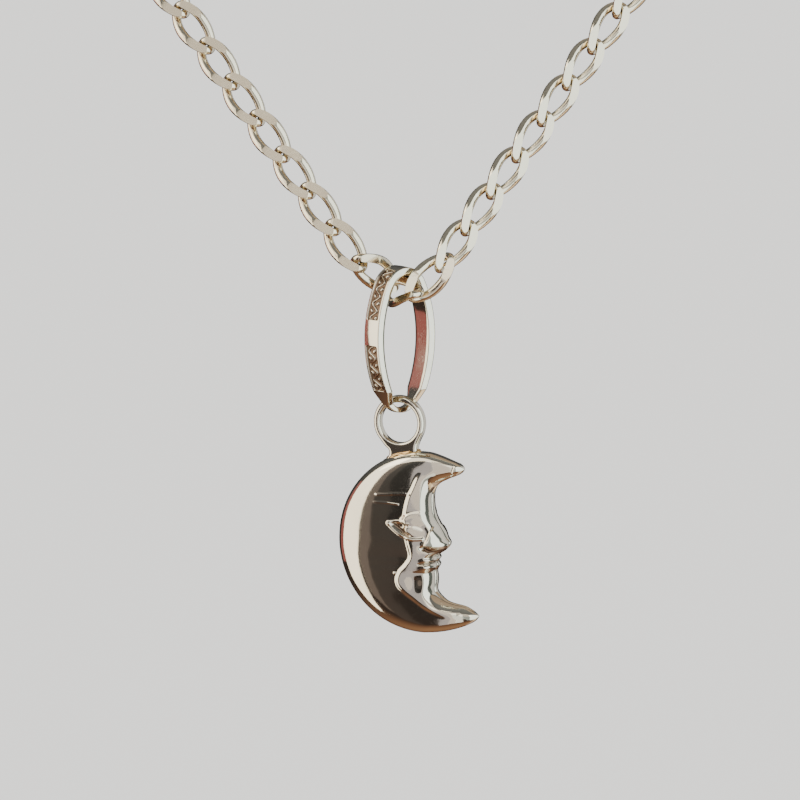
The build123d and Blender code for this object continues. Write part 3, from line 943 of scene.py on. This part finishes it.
# %% Both halves as one crescent
near_shares, far_shares = shares_across(34, 128, 24), shares_across(26, 62, 14)
near, near_hollow = half_moon(1, near_shares)
far, far_hollow = half_moon(-1, far_shares)
near_faces = [face[::-1] for face in grid_faces(row_count, near_shares.size, False, False)]
far_faces = grid_faces(row_count, far_shares.size, False, False)
crescent_points, crescent_faces = joined([(near, near_faces), (far, far_faces)])
turn_back = np.array([(cos(moon_tilt), -sin(moon_tilt)), (sin(moon_tilt), cos(moon_tilt))])
crescent_points[:, :2] = (crescent_points[:, :2] + (moon_side, -moon_drop)) @ turn_back.T
moon_axes = facing(moon_yaw)
moon_points = ring_middle + crescent_points @ moon_axes.T
moon_hollow = np.concatenate([near_hollow, far_hollow])
moon = new_piece("moon_shell", moon_points, crescent_faces, charm_gold, hollow=moon_hollow)
print("moon triangles", 2 * len(crescent_faces))

# %% Close the seam between the two halves
weld_distance = 0.0015 * MM
shell = bmesh.new()
shell.from_mesh(moon.data)
bmesh.ops.remove_doubles(shell, verts=shell.verts, dist=weld_distance)
bmesh.ops.recalc_face_normals(shell, faces=shell.faces)
open_edges = sum(edge.is_boundary for edge in shell.edges)
shell.to_mesh(moon.data)
shell.free()
print("open edges left on the moon", open_edges)

# %% [markdown]
# ## The ring on the moon
#
# The ring was stamped flat, with a foot that spreads where it meets the moon,
# and soldered on. A flat curve with a hole in it, given some depth and a round
# bevel, is just such a stamping. A line of solder that didn't run evenly lies
# round its foot.

# %% The stamped ring and its spreading foot
ring_outer, ring_bevel = ring_hole + ring_wall, 0.2
flank_right = [(1.42, -1.24), (1.31, -1.58), (1.32, -1.84), (1.46, -2.02), (1.75, -2.12)]
flank_left = [(-1.15, -2.58), (-0.86, -2.40), (-0.70, -2.14), (-0.74, -1.86), (-1.04, -1.58)]
# places along a flank, counted in its points, from just past the end of the arc
on_flank = np.linspace(2.1, 7, 28)


def circle(radius, turns):
    """Points on a circle round the middle of the ring."""
    return [(radius * cos(turn), radius * sin(turn)) for turn in turns]


outline = circle(ring_outer, np.radians(np.linspace(-27, 211, 110)))
smooth_left = smooth_rows(np.array(outline[-3:] + flank_left[::-1]), on_flank)
smooth_right = smooth_rows(np.array(outline[2::-1] + flank_right), on_flank)[::-1]
outline = outline + smooth_left.tolist() + smooth_right.tolist()
hole = circle(ring_hole, np.linspace(0, 2 * pi, 121)[:-1])
print("points of the outline and the hole", len(outline), len(hole))

# %% A filled flat curve with depth and a round bevel
curve = bpy.data.curves.new("stamping", "CURVE")
curve.dimensions = "2D"
curve.fill_mode = "BOTH"
curve.extrude = ring_depth / 2 - ring_bevel
curve.bevel_depth = ring_bevel
curve.bevel_resolution = 5
curve.offset = -ring_bevel
for line in (outline, hole):
    spline = curve.splines.new("POLY")
    spline.points.add(len(line) - 1)
    for point, (across, up) in zip(spline.points, line):
        point.co = (across, up, 0, 1)
    spline.use_cyclic_u = True
stamping = in_scene("stamping", curve)
mesh = plain_mesh(stamping)
ring_points = np.array([vertex.co for vertex in mesh.vertices])
ring_faces = [tuple(face.vertices) for face in mesh.polygons]
bpy.data.objects.remove(stamping)
print("faces of the stamped ring", len(ring_faces))

# %% The line of solder
solder_middle, solder_half = (0.30, -2.15, 0), (1.28, 0.25, 0.56)
solder_turn, unevenness, lump_fineness, lump_shift = radians(15), 0.06, 6.6, 6
around, rings = 64, 32
lumps = np.random.default_rng(7).uniform(-1, 1, (5, 5))
tips = np.repeat(pi * np.arange(rings + 1) / rings, around)
turns = np.tile(2 * pi * np.arange(around) / around, rings + 1)
ball = np.array([np.sin(tips) * np.cos(turns), np.cos(tips), np.sin(tips) * np.sin(turns)]).T
swell = np.ones(len(ball))
for height, *fineness, shift in lumps:
    swell += unevenness * height * np.sin(lump_fineness * ball @ fineness + lump_shift * shift)
turn_solder = np.array(Matrix.Rotation(solder_turn, 3, "Z"))
solder_points = solder_middle + ball * solder_half * swell[:, None] @ turn_solder.T
solder_faces = grid_faces(rings + 1, around, False, True)
ring_points = ring_middle + ring_points @ moon_axes.T
solder_points = ring_middle + solder_points @ moon_axes.T
ring = new_piece("ring_stamping", ring_points, ring_faces, charm_gold, sharp=40)
solder = new_piece("solder_seam", solder_points, solder_faces, solder_gold)
for piece in (moon, ring, solder):
    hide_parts("moon")
    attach(piece, "moon")
print("points in the solder", len(solder_points))

# %% [markdown]
# ## Floor, light and camera
#
# A mirror needs something to mirror. Two large soft lights stand at the sides,
# a cream one at the left and a cooler one at the right. Weaker cards stand
# between and behind them, each where one slope of the charm mirrors it. The room
# is dim between them, with a brown glow from the floor, so that the moon's dome
# keeps its dark belly and its bright edges. Photographers of jewellery shape
# polished metal with such cards. They reach only the metal, so the floor stays
# plain.

# %% The floor
floor_drop = 0.06
floor_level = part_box("moon")[0].z - floor_drop
# in metres, to the right and to the back
floor_corners = [(-6, -6), (6, -6), (6, 12), (-6, 12)]
floor_points = np.array([(*corner, floor_level) for corner in floor_corners]) / MM
floor_paint = bpy.data.materials.new("pale floor")
floor_paint.use_nodes = True
paint = {"Base Color": (0.80, 0.79, 0.77, 1), "Roughness": 0.95, "Specular IOR Level": 0.1}
tree = floor_paint.node_tree
feed(tree, tree.nodes["Principled BSDF"], paint)
floor = new_piece("floor", floor_points, [(0, 1, 2, 3)], floor_paint)
floor.visible_glossy = False
print("height of the floor, mm", round(floor_level / MM, 2))

# %% Soft lights round the charm
# the lights stand round a point this far below the ring of the moon
below_ring, light_distance = 0.004, 0.5
lit_point = Vector(ring_middle) * MM - Vector((0, 0, below_ring))
# the half height in degrees above which a light is oval
oval_above = 45
lights = [
    # name, yaw and elevation, half its width and height, all in degrees, its
    # brightness and its colour
    ("cream side light", -82, 8, 21.5, 47, 2.1, (1, 0.94, 0.82)),
    ("dim card", -56, 6, 5, 30, 0.17, (1, 0.82, 0.77)),
    ("dimmer card", -47.5, 4, 3.5, 34, 0.04, (1, 0.86, 0.84)),
    ("cream top light", -54, 42, 26, 13, 1.8, (1, 0.95, 0.86)),
    ("red card", -114, 0, 10, 19, 0.40, (1, 0.27, 0.26)),
    ("lilac card", -29.5, -2, 4.7, 34, 0.62, (0.93, 0.90, 1)),
    ("rose card", -20, -2, 5, 34, 0.95, (1, 0.93, 0.90)),
    ("white card", -9.5, -2, 5.7, 34, 1.35, (0.96, 1, 1)),
    ("beige card", 2, 27, 18, 15, 0.8, (1, 0.93, 0.86)),
    ("teal card", 5, -8, 9, 20, 0.5, (0.86, 0.97, 1)),
    ("cool side light", 50, 4, 36, 38, 2.6, (0.84, 0.95, 1)),
    ("gold card", 74, -46, 16, 10, 1, (1, 0.82, 0.55)),
    ("low card", 108, -58, 20, 13, 0.45, (1, 0.93, 0.84)),
    ("ridge card", 97, -8, 11, 40, 0.12, (0.72, 0.95, 1)),
    ("back light", 128, 4, 20, 34, 0.9, (0.94, 0.97, 1)),
    ("bronze card", 132, 62, 34, 18, 0.32, (1, 0.64, 0.32)),
]
for name, yaw, elevation, half_wide, half_high, brightness, colour in lights:
    lamp = bpy.data.lights.new(name, "AREA")
    lamp.shape = "ELLIPSE" if half_high > oval_above else "RECTANGLE"
    lamp.size = 2 * light_distance * tan(radians(half_wide))
    lamp.size_y = 2 * light_distance * tan(radians(half_high))
    lamp.energy = brightness * pi * lamp.size * lamp.size_y
    lamp.color = colour
    stand = in_scene(name, lamp)
    away = Vector((sin(radians(yaw)), -cos(radians(yaw)), 0)) * cos(radians(elevation))
    away.z = sin(radians(elevation))
    stand.location = lit_point + away * light_distance
    stand.rotation_euler = away.to_track_quat("Z", "Y").to_euler()
    stand.visible_camera = stand.visible_diffuse = False
print("lights", len(lights))

# %% The room: pale to the eye, dim in the mirror of the metal
room = bpy.data.worlds.new("dim studio")
room.use_nodes = True
tree = room.node_tree
direction = add_node(tree, "ShaderNodeTexCoord").outputs["Generated"]
split = add_node(tree, "ShaderNodeSeparateXYZ", {"Vector": direction})
up_down = {"Value": split.outputs["Z"], "From Min": -1.0}
level = add_node(tree, "ShaderNodeMapRange", up_down)
ramp = add_node(tree, "ShaderNodeValToRGB", {"Fac": level.outputs["Result"]})
backdrop = (1.8, 1.8, 1.78)
room_tones = [
    # place from straight down, 0, to straight up, 1, and the room's colour there
    (0.00, (0.40, 0.22, 0.125)),
    (0.14, (0.23, 0.120, 0.075)),
    (0.27, (0.050, 0.036, 0.032)),
    (0.45, (0.036, 0.034, 0.034)),
    (0.62, (0.066, 0.067, 0.070)),
    (0.80, (0.13, 0.135, 0.14)),
    (1.00, (0.24, 0.25, 0.26)),
]
for place, _ in room_tones[1:-1]:
    ramp.color_ramp.elements.new(place)
for element, (_, tone) in zip(ramp.color_ramp.elements, room_tones):
    element.color = (*tone, 1)
glossy = add_node(tree, "ShaderNodeLightPath").outputs["Is Glossy Ray"]
tones = {"Factor": glossy, "A": (*backdrop, 1), "B": ramp.outputs["Color"]}
seen = add_node(tree, "ShaderNodeMix", tones, data_type="RGBA")
feed(tree, tree.nodes["Background"], {"Color": seen.outputs["Result"]})
bpy.context.scene.world = room
print("tones in the room", len(room_tones))

# %% The camera, at the photo's angle and scale
image_size = 800
pixels_per_mm = 15.1
bottom_link_row = 292
elevation, distance_mm, sensor = radians(8), 250.0, 36.0
look = np.array([0, cos(elevation), -sin(elevation)])
camera_up = np.cross(to_right, look)
off_up = (bottom_link_row - image_size / 2) / pixels_per_mm
aim = v_bottom + camera_up * off_up
lens = bpy.data.cameras.new("camera")
lens.sensor_width = sensor
lens.lens = sensor * distance_mm * pixels_per_mm / image_size
lens.clip_start, lens.clip_end = 0.01, 50
camera = in_scene("camera", lens)
camera.location = Vector(aim - look * distance_mm) * MM
camera.rotation_euler = (pi / 2 - elevation, 0, 0)
bpy.context.scene.camera = camera
print("camera stands at, mm", np.round(aim - look * distance_mm, 1))
